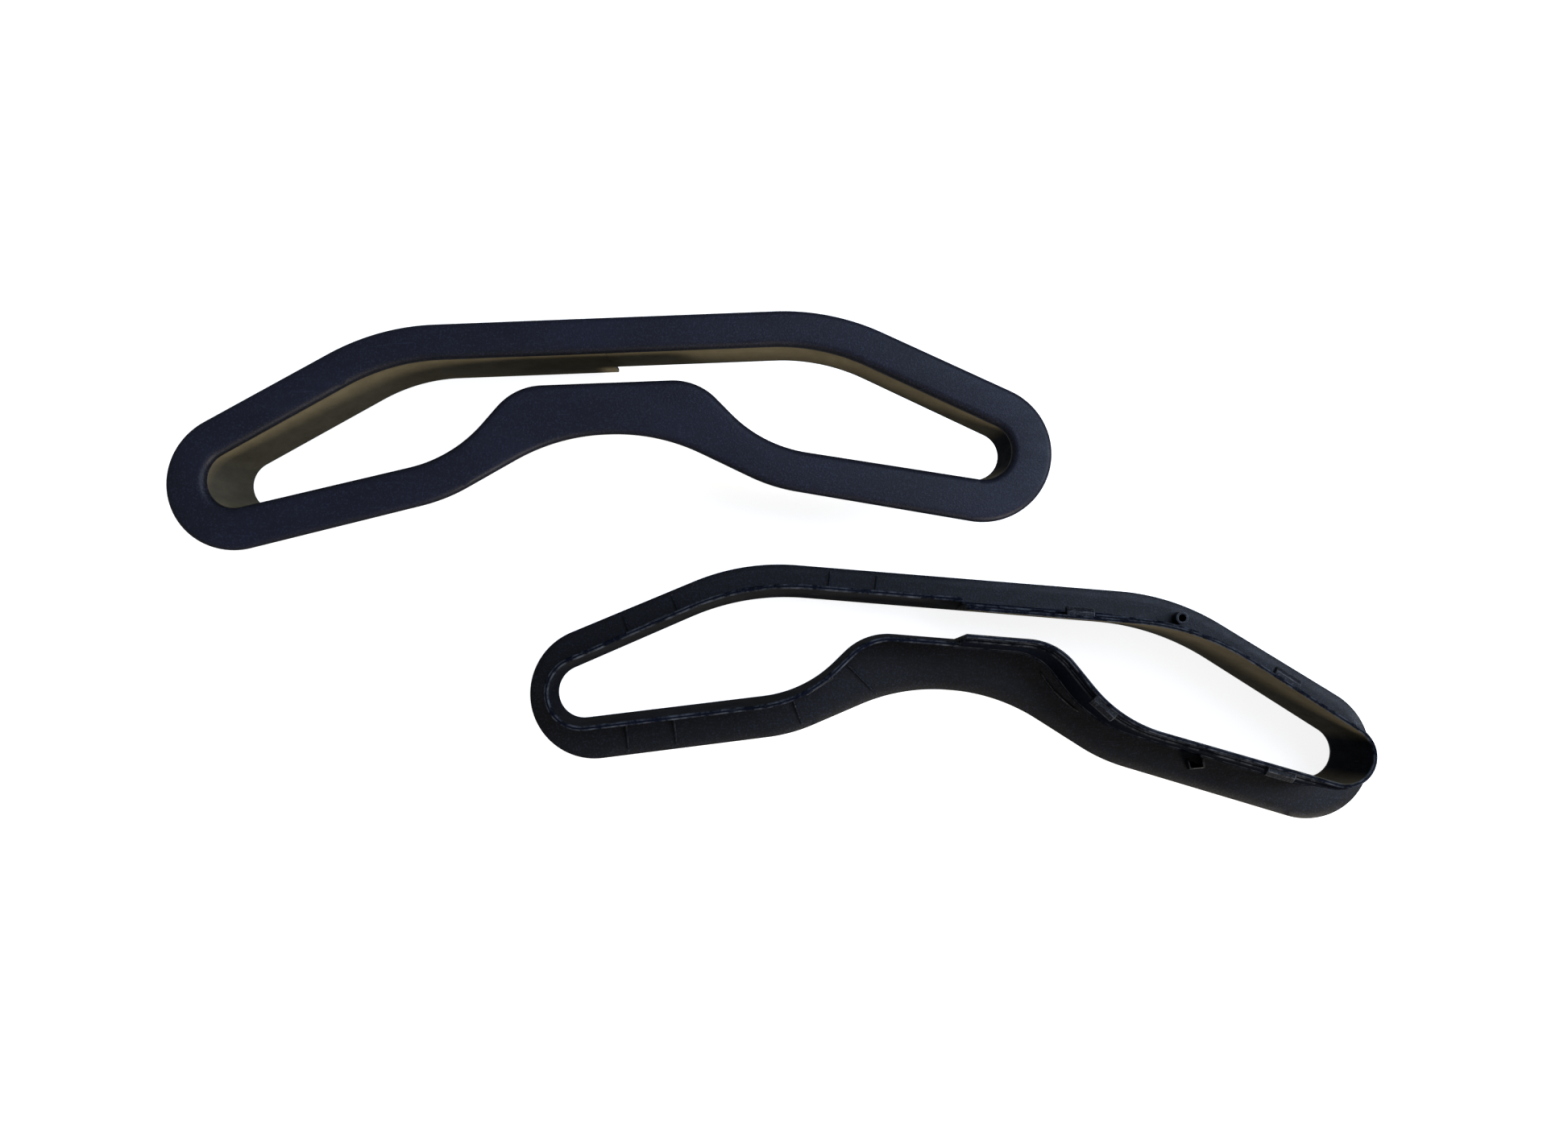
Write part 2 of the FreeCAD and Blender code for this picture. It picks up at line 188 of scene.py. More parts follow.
def rounded(corners, radii, steps=5, flank=0.5):
    """A closed polygon with its corners rounded: (points, outward normals, rim).

    For each corner, the arc's centre is corner + bisector * r / sin(half angle), and its points
    turn evenly from one tangent direction to the other. rim is 1 on the arc and 0 at a point
    a short way along each flank, so that it fades away from every edge."""
    corners = np.array(corners, float)
    radii = np.broadcast_to(np.array(radii, float), len(corners))
    back = np.roll(corners, 1, 0) - corners
    on = np.roll(corners, -1, 0) - corners
    back_len = np.linalg.norm(back, axis=1)
    on_len = np.linalg.norm(on, axis=1)
    a, b = back / back_len[:, None], on / on_len[:, None]
    half = np.arccos(np.clip((a * b).sum(1), -1, 1)) / 2
    reach = radii / np.tan(half)
    bisector = (a + b) / np.linalg.norm(a + b, axis=1)[:, None]
    centre = corners + bisector * (radii / np.sin(half))[:, None]
    first, last = corners + a * reach[:, None] - centre, corners + b * reach[:, None] - centre
    sweep = np.pi - 2 * half
    t = np.linspace(0, 1, steps)[None, :, None]
    s = sweep[:, None, None]
    arc = (np.sin((1 - t) * s) * first[:, None] + np.sin(t * s) * last[:, None]) / np.sin(s)
    spare_back = np.clip(back_len - reach - np.roll(reach, 1), SHARP, None) * FLANK_SHARE
    spare_on = np.clip(on_len - reach - np.roll(reach, -1), SHARP, None) * FLANK_SHARE
    before = corners + a * (reach + np.minimum(flank, spare_back))[:, None]
    after = corners + b * (reach + np.minimum(flank, spare_on))[:, None]
    points = np.concatenate([before[:, None], centre[:, None] + arc, after[:, None]], 1)
    rim = np.ones(points.shape[:2])
    rim[:, [0, -1]] = 0
    points = points.reshape(-1, 2)
    ahead = np.roll(points, -1, 0)
    tangent = ahead - np.roll(points, 1, 0)
    area = (points[:, 0] * ahead[:, 1] - points[:, 1] * ahead[:, 0]).sum()
    normals = np.stack([tangent[:, 1], -tangent[:, 0]], -1) * np.sign(area)
    normals /= np.linalg.norm(normals, axis=1)[:, None]
    return points, normals, rim.ravel()


END_ROUND = 0.3


def end_steps(count=4, radius=END_ROUND):
    """How far the rounded end of a carried section lies along, and how far it draws in:
    a quarter circle, along = r (1 - cos a) and in = r (1 - sin a)."""
    angle = np.linspace(0, np.pi / 2, count)
    return radius * (1 - np.cos(angle)), radius * (1 - np.sin(angle))


print("a rounded square has", len(rounded([(0, 0), (1, 0), (1, 1), (0, 1)], 0.1)[0]), "points")

# %% [markdown]
# ## Faces for a grid
#
# Blender needs a list of points and a list of faces, which from_pydata takes. The faces of a
# grid are always the same pattern, so one function numbers them for every piece. Values that
# the finishes need, such as how worn an edge is, go into the mesh as attributes.

# %% Grid to mesh
SHARP_ANGLE = 50.0


def placed(points, bezel):
    """A bezel's own points, in millimetres, in the row frame in metres. A bezel that lies face
    down is turned half a turn about Y, (-x, y, -z), and then each is yawed and moved."""
    x, y, z = np.moveaxis(points, -1, 0)
    if bezel["face_down"]:
        x, z = -x, -z
    c, s = unit(bezel["turn"])
    cx, cy = bezel["centre"]
    return np.stack([cx + c * x - s * y, cy + s * x + c * y, bezel["height"] + z], -1) / 1000


def grid_faces(rows, columns, ring):
    """Quads of a rows by columns grid that closes round its rows, and round its columns too
    if it is a ring. Otherwise each end is closed with one face. Corner numbers are row *
    columns + column."""
    i = np.arange(rows)[:, None]
    j = np.arange(columns if ring else columns - 1)[None, :]
    i2, j2 = (i + 1) % rows, (j + 1) % columns
    quads = np.stack([i * columns + j, i * columns + j2, i2 * columns + j2, i2 * columns + j], -1)
    faces = quads.reshape(-1, 4).tolist()
    if not ring:
        edge = np.arange(rows) * columns
        faces += [edge.tolist(), (edge[::-1] + columns - 1).tolist()]
    return faces


def mesh_piece(name, grids, bezel, ring=False):
    """One object from one or more grids, each (points, attributes by name)."""
    verts, faces, values, start = [], [], {}, 0
    for points, attributes in grids:
        rows, columns = points.shape[:2]
        verts.append(placed(points, bezel).reshape(-1, 3))
        faces += [[v + start for v in face] for face in grid_faces(rows, columns, ring)]
        for key, value in attributes.items():
            values.setdefault(key, []).append(np.broadcast_to(value, (rows, columns)).ravel())
        start += rows * columns
    mesh = bpy.data.meshes.new(name)
    mesh.from_pydata(np.concatenate(verts).tolist(), [], faces)
    for key, parts in values.items():
        layer = mesh.attributes.new(key, "FLOAT", "POINT")
        layer.data.foreach_set("value", np.concatenate(parts).astype(np.float32))
    shell = bmesh.new()
    shell.from_mesh(mesh)
    bmesh.ops.recalc_face_normals(shell, faces=shell.faces)
    shell.to_mesh(mesh)
    shell.free()
    mesh.shade_smooth()
    mesh.set_sharp_from_angle(angle=math.radians(SHARP_ANGLE))
    piece = bpy.data.objects.new(name, mesh)
    bpy.context.scene.collection.objects.link(piece)
    print(name, "faces", len(mesh.polygons))
    return piece


# %% [markdown]
# ## The trim flange
#
# The flange is the part that shows in use: a band 9 to 14 mm wide, nearly flat, with a round
# outer edge and a rounder edge that rolls into the opening. Its two edges follow different
# outlines, so the band is not a plain offset of one curve. The grid runs across the band from
# the outer outline to the opening's one, and round the loop in the other direction.

# %% The trim flange of each bezel
OUTER_STEPS, CROWN_STEPS, INNER_STEPS, UNDER_CHAMFER = 9, 11, 10, 0.15


def trim_ring(bezel):
    """Rows across the band: up the outer edge, over its round, across the crown, down the
    opening's round and back underneath. The crown is FACE - CROWN * (2 f - 1)^2, where f is the
    share of the way across. rim is wear on the opening's round. painted_light_and_shade is 1
    underneath, where the tone is darker, and fades over both rounds, where it is painted shade
    on their steep parts."""
    outer = whole_outline(OUTER, OUTER)
    hole = whole_outline(bezel["hole"], bezel["hole_shallow"])
    rows, rim, roll = [], [], []

    def add(share, outer_in, hole_out, z, wear_and_highlight=0.0, inward=0.0):
        """One row, this share of the way from the outer outline to the opening's."""
        from_outer = outer[0] - outer_in * outer[1]
        from_hole = hole[0] + hole_out * hole[1]
        flat = from_outer + share * (from_hole - from_outer)
        rows.append(np.column_stack([flat, np.full(len(flat), z)]))
        rim.append(wear_and_highlight)
        roll.append(inward)

    low = FACE - CROWN
    # The last number of each row darkens the colour: painted shade on the steep parts of both
    # rounds, and a darker tone underneath.
    for z in (UNDER_CHAMFER, OUTER_ROUND / 4):
        add(0, 0, 0, z, 0, 1)
    for angle in np.linspace(0, 90, OUTER_STEPS):
        c, s = unit(angle)
        height = low - OUTER_ROUND
        add(0, OUTER_ROUND * (1 - c), 0, height + OUTER_ROUND * s, 0, (1 - angle / 90) ** 2)
    for share in np.linspace(0, 1, CROWN_STEPS)[1:-1]:
        add(share, OUTER_ROUND, INNER_ROUND, FACE - CROWN * (2 * share - 1) ** 2)
    for angle in np.linspace(90, 0, INNER_STEPS):
        c, s = unit(angle)
        height = low - INNER_ROUND
        add(1, 0, INNER_ROUND * (1 - c), height + INNER_ROUND * s,
            math.sin(math.radians(2 * angle)) / 2, 1 - angle / 90)
    add(1, 0, 0, 0.0, 0, 1)
    for share in (0.75, 0.5, 0.25, 0):
        add(share, UNDER_CHAMFER, 0, 0.0, 0, 1)
    attributes = {"rim": np.array(rim)[:, None], "painted_light_and_shade": np.array(roll)[:, None]}
    return np.array(rows), attributes


pieces = {}
for side, bezel in BEZELS.items():
    pieces[side + "_trim_ring"] = mesh_piece(side + "_trim_ring", [trim_ring(bezel)], bezel, True)

# %% [markdown]
# ## The walls
#
# The deep wall draws in slightly towards its tip, where it steps down to a thin lip that slides
# inside the other bezel's shallow wall. It could be a Solidify modifier on a strip, but then
# the step and the fillet at its root would need pieces of their own. As a section, the step, the
# fillet and the softly rounded lip are one closed line, carried round half of the loop.

# %% A section carried round half of the loop
FACING_ALONG, FACING_SPAN = 0.55, 0.35


def half_wall(section, start, finish, start_z, deep_side, painted_wall_light):
    """Grid of a wall: point = outline(z) + out * normal(z). The outline goes in a straight
    line from start at z = 0 to finish at start_z, and stays there below. Both ends are rounded.
    painted_light_and_shade is painted light on the side to the opening: a pale warm tone that
    stands in for light that the wall catches, set by which way the wall faces. It goes from the
    second number where the wall faces along the loop's length to the first one where it faces
    across. rim is 1 on the rounded corners and ends, which are lighter: partly wear and partly
    a painted highlight."""
    points, normals, rim = section
    upper, lower = half_outline(start), half_outline(finish)
    if deep_side:
        upper, lower = mirrored(upper), mirrored(lower)
    along, drawn = end_steps()
    ahead = np.sign(upper[0][1, 0] - upper[0][0, 0])
    lines = []
    for line, normal in (upper, lower):
        first = line[:1] + along[:, None] * [ahead, 0]
        last = line[-1:] + along[::-1, None] * [ahead, 0]
        lines.append((np.concatenate([first, line[1:-1], last]),
                      np.concatenate([normal[[0] * len(along)], normal[1:-1],
                                      normal[[-1] * len(along)]])))
    inset = np.concatenate([drawn, np.zeros(len(upper[0]) - 2), drawn[::-1]])
    out, z = np.moveaxis(points[:, None] - inset[None, :, None] * normals[:, None], -1, 0)
    share = np.clip(z / start_z, 0, 1)[..., None]
    line = lines[0][0] + share * (lines[1][0] - lines[0][0])
    normal = lines[0][1] + share * (lines[1][1] - lines[0][1])
    flat = line + out[..., None] * normal
    # Rounded corners and ends are lighter: partly wear and partly a painted highlight.
    wear_and_highlight = np.maximum(rim[:, None], (inset > 0)[None, :])
    # Painted light: a pale warm tone on the inner side, more where the wall faces across the loop.
    across = np.clip((np.abs(normal[..., 1]) - FACING_ALONG) / FACING_SPAN, 0, 1)
    wall_light_share = painted_wall_light[1] + (painted_wall_light[0] - painted_wall_light[1]) * across
    painted_light_and_shade = (normals[:, 0] < -0.5)[:, None] * wall_light_share
    return np.concatenate([flat, z[..., None]], -1), {"rim": wear_and_highlight, "painted_light_and_shade": painted_light_and_shade}


# %% The deep and shallow wall of each bezel
LIP_FOOT = LIP_HEIGHT - DEEP
DEEP_FILLET, SHALLOW_FILLET, LIP_ROUND, LEDGE_ROUND, WALL_ROUND = 0.7, 0.6, 0.45, 0.3, 0.5
deep_section = rounded(
    [(0, 0), (0, -DEEP), (LIP, -DEEP), (LIP, LIP_FOOT), (WALL, LIP_FOOT), (WALL, -DEEP_FILLET),
     (WALL + DEEP_FILLET, 0)],
    [SHARP, LIP_ROUND, LIP_ROUND, LEDGE_ROUND, WALL_ROUND, WALL_ROUND, SHARP])
shallow_section = rounded(
    [(0, 0), (0, -SHALLOW), (SHALLOW_WALL, -SHALLOW), (SHALLOW_WALL, -SHALLOW_FILLET),
     (SHALLOW_WALL + SHALLOW_FILLET, 0)],
    [SHARP, WALL_ROUND, WALL_ROUND, WALL_ROUND, SHARP])
for side, bezel in BEZELS.items():
    wall_light_deep, wall_light_shallow = bezel["painted_wall_light"]
    deep = half_wall(deep_section, bezel["hole"], bezel["tip"], LIP_FOOT, True, wall_light_deep)
    shallow = half_wall(shallow_section, bezel["hole_shallow"], bezel["rim"], -SHALLOW, False,
                        wall_light_shallow)
    pieces[side + "_deep_wall"] = mesh_piece(side + "_deep_wall", [deep], bezel)
    pieces[side + "_shallow_wall"] = mesh_piece(side + "_shallow_wall", [shallow], bezel)

# %% [markdown]
# ## Clips, ribs and the small mouldings
#
# Four wedge-shaped blocks on each lip click behind four bridges on the other bezel's shallow
# wall. Thin ribs beside the bridges stiffen the flange. All of them are straight bars with an
# outline of their own, so one function that carries an outline along a straight line makes
# them all, and rounds their ends.

# %% Where a clip sits on the loop, and a straight bar for it
CLIPS = [(40.0, 1), (113.0, 1), (52.0, -1), (114.0, -1)]


def station(shape, x, side):
    """The place on an outline at x, as (point, along, outwards): side +1 is the upper edge
    and -1 the lower edge. x < 0 is on the mirrored half."""
    points, normals = half_outline(shape)
    far = np.argmax(points[:, 0])
    run = slice(None, far + 1) if side > 0 else slice(far, None)
    points, normals = points[run], normals[run]
    order = np.argsort(points[:, 0])
    values = np.column_stack([points, normals])[order]
    at = np.array([np.interp(abs(x), values[:, 0], column) for column in values.T])
    point, out = at[:2] * [np.sign(x), 1], at[2:] * [np.sign(x), 1]
    out = out / np.linalg.norm(out)
    return point, np.array([out[1], -out[0]]), out


BAR_ROUND, WEAR_AND_HIGHLIGHT_FADE = 0.25, 0.4


def bar(outline, length, radius, end_round=BAR_ROUND, cap=0.0):
    """A rounded outline carried straight: grid of (u, v, t), with t from -length/2 to length/2,
    and its attributes. Each end draws in by a quarter circle, then by cap once more. The rounded
    edges and ends are lighter, partly wear and partly a painted highlight, and on the ends this
    fades out within WEAR_AND_HIGHLIGHT_FADE."""
    points, normals, rim = rounded(outline, radius)
    along, drawn = end_steps(4, end_round)
    t = np.concatenate([along, [end_round + WEAR_AND_HIGHLIGHT_FADE]]) - length / 2
    inset = np.concatenate([drawn, [0]])
    wear_and_highlight = np.concatenate([np.ones(len(along)), [0]])
    if cap:
        t, inset = np.append(t[0], t), np.append(end_round + cap, inset)
        wear_and_highlight = np.append(0, wear_and_highlight)
    t, inset = np.concatenate([t, -t[::-1]]), np.concatenate([inset, inset[::-1]])
    wear_and_highlight = np.concatenate([wear_and_highlight, wear_and_highlight[::-1]])
    flat = points[:, None] - inset[None, :, None] * normals[:, None]
    grid = np.concatenate([flat, np.broadcast_to(t[None, :, None], flat.shape[:2] + (1,))], -1)
    return grid, {"rim": np.maximum(rim[:, None], wear_and_highlight[None]), "painted_light_and_shade": 0.0}


def at_station(made, place, upright=False, lift=0.0):
    """Puts a bar on the loop. Its (u, v, t) are outwards, up and along, or for an upright
    bar along, outwards and up."""
    grid, attributes = made
    u, v, t = np.moveaxis(grid, -1, 0)[..., None]
    point, along, out = place
    if upright:
        flat, z = point + u * along + v * out, t + lift
    else:
        flat, z = point + u * out + t * along, v + lift
    return np.concatenate([flat, z], -1), attributes


# %% [markdown]
# ## Snap blocks
#
# A snap block is a small wedge: its ramp lets the lip bend inwards as the bezels close, and
# its flat back holds. Each is sunk a little into the lip, so that no gap shows at its root.

# %% Snap blocks on the lip
BLOCK_LENGTH, BLOCK_OUT, BLOCK_HEIGHT, BLOCK_TIP_GAP, BLOCK_RAMP = 10.0, 3.1, 3.4, 0.8, 1.6
SUNK, BLOCK_CAP = 0.4, 0.5
tip = BLOCK_TIP_GAP - DEEP
far = LIP + BLOCK_OUT
block_outline = [(LIP - SUNK, tip), (far - BLOCK_RAMP, tip), (far, tip + BLOCK_RAMP),
                 (far, tip + BLOCK_HEIGHT), (LIP - SUNK, tip + BLOCK_HEIGHT)]
for side, bezel in BEZELS.items():
    name = side + "_clip_blocks"
    block = bar(block_outline, BLOCK_LENGTH, BAR_ROUND, cap=BLOCK_CAP)
    grids = [at_station(block, station(bezel["tip"], -x, edge)) for x, edge in CLIPS]
    pieces[name] = mesh_piece(name, grids, bezel)

# %% [markdown]
# ## Catch bridges
#
# A bridge is a bar held off the shallow wall by a web at each end, and a snap block clicks
# behind it. A Boolean could cut the slot in a plain bar, but an outline that goes round
# the slot is one closed line, and has its roundings already.

# %% Catch bridges on the shallow wall
CATCH_LENGTH, CATCH_GAP, CATCH_BAR, CATCH_HEIGHT, CATCH_DEPTH = 12.0, 1.3, 1.0, 2.4, 7.0
BRIDGE_ROUND = 0.2
half, web = CATCH_LENGTH / 2, CATCH_LENGTH / 2 - CATCH_BAR
root, gap = SHALLOW_WALL - SUNK, SHALLOW_WALL + CATCH_GAP
bridge_outline = [(-half, root), (-half, gap + CATCH_BAR), (half, gap + CATCH_BAR), (half, root),
                  (web, root), (web, gap), (-web, gap), (-web, root)]
for side, bezel in BEZELS.items():
    name = side + "_clip_bridges"
    bridge = bar(bridge_outline, CATCH_HEIGHT, BRIDGE_ROUND)
    lift = CATCH_HEIGHT / 2 - CATCH_DEPTH
    grids = [at_station(bridge, station(bezel["hole_shallow"], x, edge), True, lift)
             for x, edge in CLIPS]
    pieces[name] = mesh_piece(name, grids, bezel)

# %% [markdown]
# ## Ribs
#
# A rib stiffens the flange beside each bridge. It is tall at the wall and slopes down to the
# flange's edge. The flange's width varies round the loop, so each rib is as long as the flange
# is wide where it stands, less a margin.

# %% Ribs across the flange's back
RIB, RIB_TALL, RIB_LOW, RIB_SPACING, EDGE_MARGIN, SLOPE_END = 0.5, 1.6, 0.5, 18.0, 1.5, 13.0
RIB_LEVEL, RIB_RADII, RIB_ROUND = 0.8, [SHARP, SHARP, 0.2, 0.15, SHARP], 0.12


def rib_reach(place):
    """How far a rib goes outwards: to the crossing of its line with the flange's outer
    outline, less the margin. The nearest outline point sideways of the line is taken."""
    point, along, out = place
    loop = whole_outline(OUTER, OUTER)[0] - point
    ahead, aside = loop @ out, np.abs(loop @ along)
    return float(ahead[ahead > 0][np.argmin(aside[ahead > 0])]) - EDGE_MARGIN


for side, bezel in BEZELS.items():
    name, grids = side + "_ribs", []
    for x, edge in CLIPS:
        for step in (-RIB_SPACING / 2, RIB_SPACING / 2):
            place = station(bezel["hole_shallow"], x + step, edge)
            reach = rib_reach(place)
            start = SHALLOW_WALL + RIB_LEVEL
            slope = (RIB_TALL - RIB_LOW) / (SLOPE_END - start)
            low = max(RIB_LOW, RIB_TALL - slope * (reach - start))
            outline = [(root, 0), (root, -RIB_TALL), (start, -RIB_TALL), (reach, -low), (reach, 0)]
            grids.append(at_station(bar(outline, RIB, RIB_RADII, RIB_ROUND), place))
    pieces[name] = mesh_piece(name, grids, bezel)

# %% [markdown]
# ## Boss, pocket and ridge
#
# Three small mouldings lie on the flange's back: a hollow boss that takes a peg, a pocket that
# is open towards the wall, and a curved bead that a thumb can feel. They could be primitives
# with bevels, but the same rounded sections give them the edges that the rest has.

# %% Boss, pocket and ridge
BOSS_AT, BOSS_R, BOSS_BORE_R, BOSS_HEIGHT = (-85.0, 9.2), 2.4, 1.4, 5.0
POCKET_AT, POCKET_SIZE, POCKET_WALL, POCKET_HEIGHT = (-94.0, -45.1), (6.0, 3.6), 0.8, 3.0
RIDGE_POINTS, RIDGE, RIDGE_HEIGHT = [(-33.8, -15.6), (-40.6, -23.4), (-49.2, -29.4)], 1.2, 1.0
BOSS_ROUND, POCKET_ROUND, TURN_STEPS = 0.25, 0.12, 48
RIDGE_STEPS, RIDGE_SECTION_STEPS, RIDGE_BLUNTNESS, RIDGE_CUT = 40, 24, 6, 0.995


def boss():
    """A tube: its section, a rounded rectangle from the bore to the outside, turned round
    the boss's axis. The point at angle a is axis + r * unit(a)."""
    points, _, rim = rounded([(BOSS_BORE_R, 0), (BOSS_BORE_R, -BOSS_HEIGHT),
                              (BOSS_R, -BOSS_HEIGHT), (BOSS_R, 0)],
                             [SHARP, BOSS_ROUND, BOSS_ROUND, SHARP])
    turn = unit(np.linspace(0, 360, TURN_STEPS, endpoint=False))
    flat = np.array(BOSS_AT) + points[:, :1, None] * turn[None]
    z = np.broadcast_to(points[:, 1, None, None], flat.shape[:2] + (1,))
    return np.concatenate([flat, z], -1), {"rim": rim[:, None], "painted_light_and_shade": 0.0}


def pocket():
    """A U-shaped wall, stood on the flange's back with its open side to the deep wall."""
    length, width = POCKET_SIZE
    u, v, wall = length / 2, width / 2, POCKET_WALL
    outline = [(-u, v), (-u, -v), (u, -v), (u, v), (u - wall, v), (u - wall, wall - v),
               (wall - u, wall - v), (wall - u, v)]
    along = unit(-OUTER["arm"])
    place = (np.array(POCKET_AT), along, np.array([-along[1], along[0]]))
    pocket_bar = bar(outline, POCKET_HEIGHT, POCKET_ROUND)
    return at_station(pocket_bar, place, True, -POCKET_HEIGHT / 2)


def ridge():
    """A low bead on an arc through three points. Its section is half an ellipse, out = w cos a
    and down = h sin a, and both are multiplied by a swell that is nearly 1 along the bead
    and almost nothing at its two ends: the root of 1 - s^6, with s from -1 to 1."""
    (x1, y1), (x2, y2), (x3, y3) = RIDGE_POINTS
    rows = np.array([[x2 - x1, y2 - y1], [x3 - x2, y3 - y2]])
    mids = np.array([[(x1 + x2) / 2, (y1 + y2) / 2], [(x2 + x3) / 2, (y2 + y3) / 2]])
    centre = np.linalg.solve(rows, (rows * mids).sum(1))
    ends = np.array([RIDGE_POINTS[0], RIDGE_POINTS[2]]) - centre
    radius = np.linalg.norm(ends[0])
    low, high = np.degrees(np.arctan2(ends[:, 1], ends[:, 0]))
    high = low + (high - low + 180) % 360 - 180
    turn = unit(np.linspace(low, high, RIDGE_STEPS))
    share = np.linspace(-RIDGE_CUT, RIDGE_CUT, RIDGE_STEPS)
    swell = np.sqrt(1 - share ** RIDGE_BLUNTNESS)
    angle = np.linspace(0, 360, RIDGE_SECTION_STEPS, endpoint=False)
    c, s = unit(angle).T[:, :, None]
    flat = centre + (radius + RIDGE / 2 * c * swell)[..., None] * turn[None]
    z = -RIDGE_HEIGHT * np.clip(s, 0, 1) * swell
    # The top of the bead is lighter: partly rubbed wear and partly a painted highlight.
    wear_and_highlight = np.clip(s, 0, 1) ** 3
    return np.concatenate([flat, z[..., None]], -1), {"rim": wear_and_highlight, "painted_light_and_shade": 0.0}


for side, bezel in BEZELS.items():
    pieces[side + "_boss_tube"] = mesh_piece(side + "_boss_tube", [boss()], bezel, True)
    pieces[side + "_clip_pocket"] = mesh_piece(side + "_clip_pocket", [pocket()], bezel)
    pieces[side + "_thumb_ridge"] = mesh_piece(side + "_thumb_ridge", [ridge()], bezel)

# %% [markdown]
# ## The finishes
#
# It is all one navy-black moulded plastic, but the mould gives each surface its own finish. The
# face has a fine even grain that keeps it matt. The walls are smoother, with faint streaks along
# the way that the mould draws. Painted light makes their inner side warmer and paler, and
# painted shade darkens the flange's rounds. Every rounded edge is a little lighter, partly
# rubbed wear and partly a painted highlight. Painted maps could hold this, but nodes in object
# coordinates stay sharp at any distance and need no files.

# %% Short names for the nodes that the finishes use
def tone(red, green, blue):
    """An 8-bit display colour as the linear numbers that a shader takes."""
    value = np.array([red, green, blue]) / 255
    linear = np.where(value > 0.04045, ((value + 0.055) / 1.055) ** 2.4, value / 12.92)
    return (*linear.tolist(), 1.0)


def add_node(tree, kind, inputs=None, **settings):
    """A node with its settings and inputs. An input is a number or colour, or a socket."""
    node = tree.nodes.new(kind)
    for key, value in settings.items():
        setattr(node, key, value)
    for key, value in (inputs or {}).items():
        if isinstance(value, bpy.types.NodeSocket):
            tree.links.new(value, node.inputs[key])
        else:
            node.inputs[key].default_value = value
    return node


def noise(tree, where, scale, detail=2.0, stretch=(1, 1, 1), roughness=0.5):
    """Noise in object coordinates, scaled per metre and stretched."""
    mapping = add_node(tree, "ShaderNodeMapping", {"Vector": where, "Scale": stretch})
    return add_node(tree, "ShaderNodeTexNoise", {
        "Vector": mapping.outputs[0], "Scale": scale, "Detail": detail,
        "Roughness": roughness}).outputs["Fac"]


def between(tree, value, low, high, to_low=0.0, to_high=1.0):
    """A value's range low to high, mapped to another one, and clamped."""
    return add_node(tree, "ShaderNodeMapRange", {
        "Value": value, "From Min": low, "From Max": high,
        "To Min": to_low, "To Max": to_high}).outputs[0]


def math_node(tree, operation, first, second):
    """One sum, product or other operation on two numbers or sockets."""
    return add_node(tree, "ShaderNodeMath", {0: first, 1: second}, operation=operation).outputs[0]


def mixed(tree, share, first, second):
    """Colour first where share is 0, and second where it is 1."""
    return add_node(tree, "ShaderNodeMix", {0: share, 6: first, 7: second},
                    data_type="RGBA").outputs[2]


# %% [markdown]
# ## A finish for moulded plastic
#
# The colour is built in layers, from the slowest pattern to the finest: mottling over tens of
# millimetres, painted light on the walls' inner side and painted shade on the flange's rounds,
# specks in the grain, then lighter edges, partly rubbed wear and partly painted highlight, and
# scratches.
# The roughness follows the same smears, and three Bump nodes in a row add the grain, the draw
# lines and the scratches. Displacement could make the grain real, but it is about a tenth of
# a millimetre high, so only its shading shows.

# %% A moulded plastic material
INNER_MOTTLE, WEAR_AND_HIGHLIGHT_SHARE, SCRATCH_SHARE, SCRATCH_DEPTH = 0.8, 0.9, 0.3, 0.00006
SMOOTHER, ROUGHER, RUBBED_SMOOTH = 0.06, 0.08, 0.15


